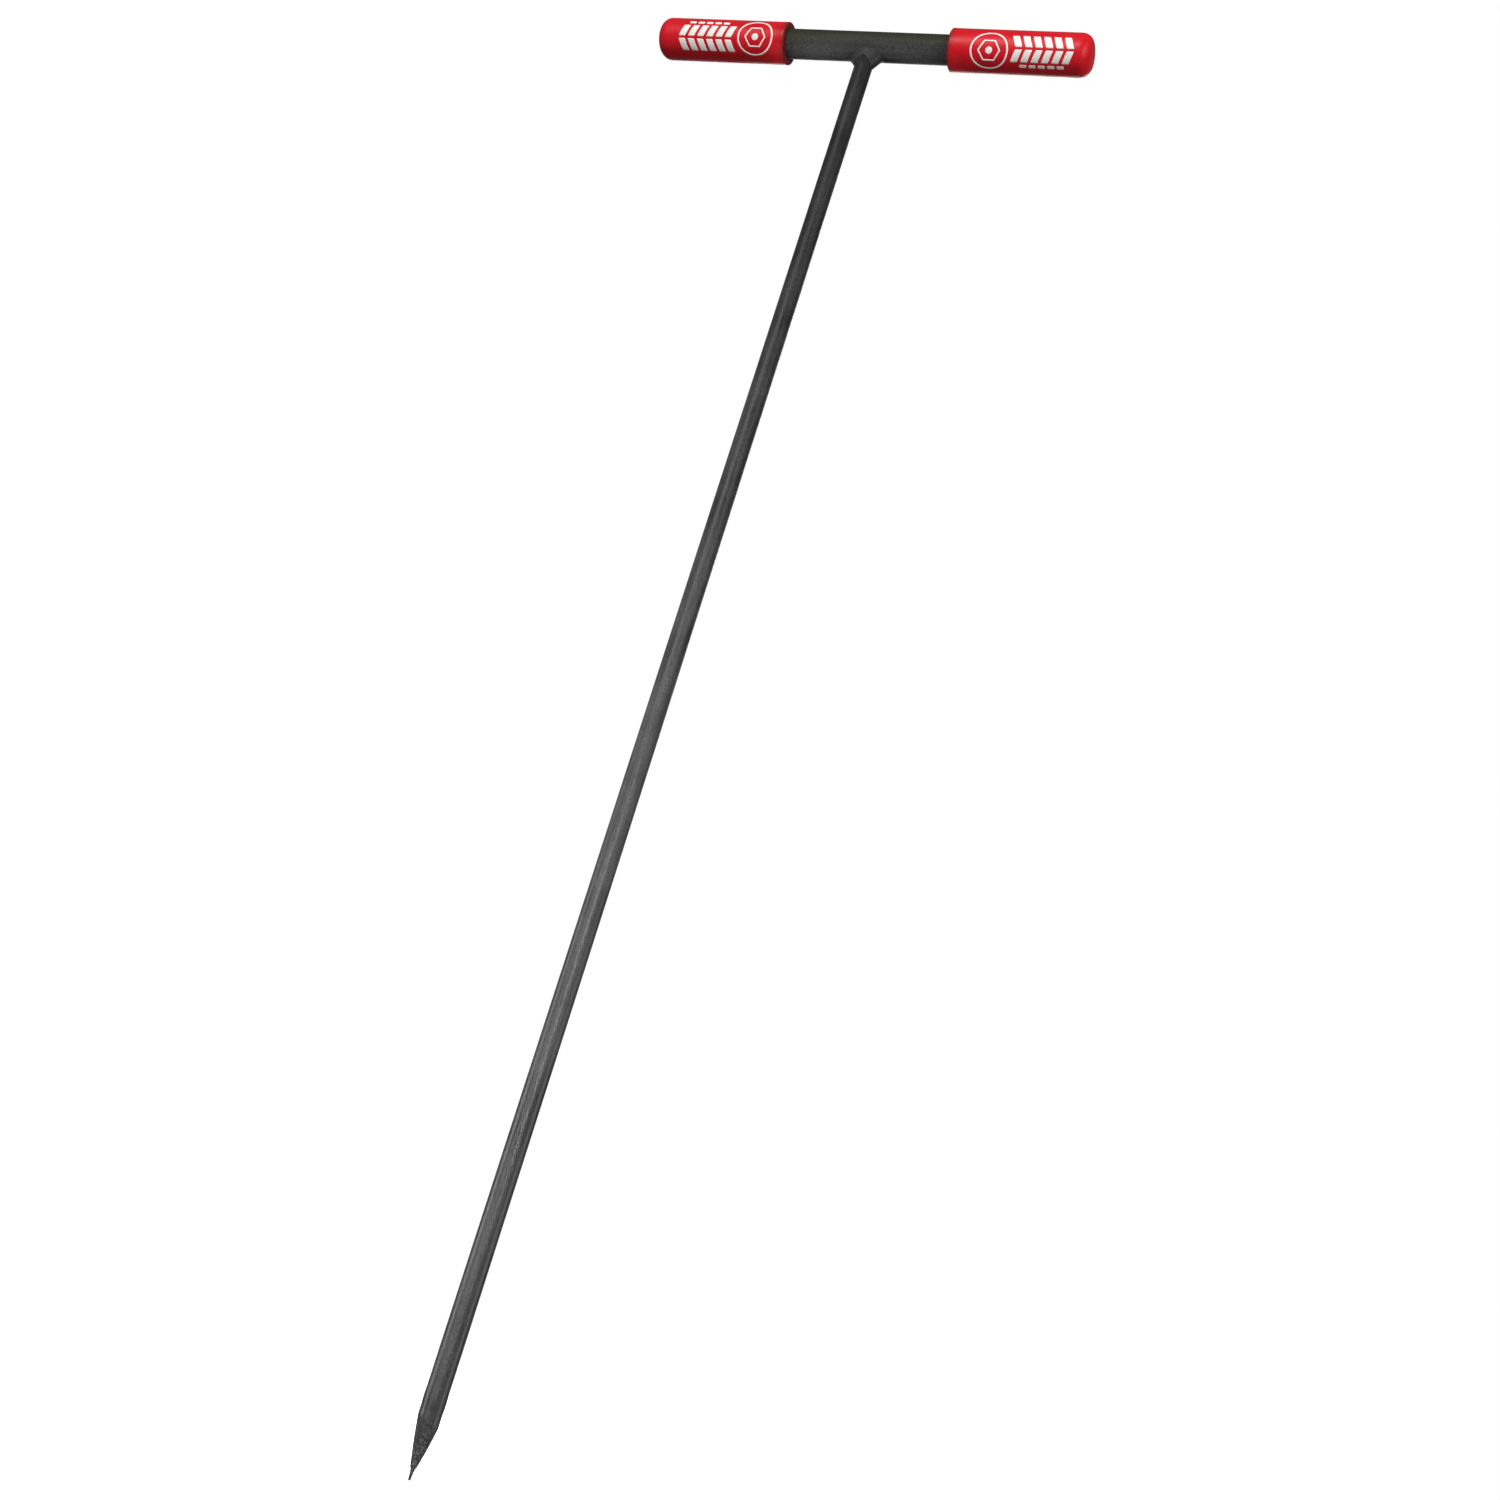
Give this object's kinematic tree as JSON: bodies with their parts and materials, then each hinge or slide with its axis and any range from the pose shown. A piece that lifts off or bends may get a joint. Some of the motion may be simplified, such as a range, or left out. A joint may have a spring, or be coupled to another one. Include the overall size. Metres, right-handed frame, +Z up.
{
  "type": "post driver",
  "caption": "T-handled steel pilot bar for posts and stakes: a long round bar with a ground point, welded to a cross tube with closed-end vinyl grips.",
  "frame": {"origin": "tip of the point, on the bar's axis, with the tool upright", "axes": "+Z up the bar to the handle; +X along the handle to the right grip; -Y is the side the grips' marks face"},
  "size_m": [0.3914, 0.0361, 1.2245],
  "materials": {
    "black_coat": "black powder coat on steel, semi-matt with a fine orange peel",
    "red_vinyl": "bright red moulded vinyl, satin",
    "white_ink": "white printing ink on the grips, slightly worn"
  },
  "bodies": {
    "root": {"shaft": "black_coat", "handle_tube": "black_coat", "tee_weld": "black_coat", "left_grip": "red_vinyl", "right_grip": "red_vinyl", "left_grip_print": "white_ink", "right_grip_print": "white_ink"}
  },
  "joints": []
}
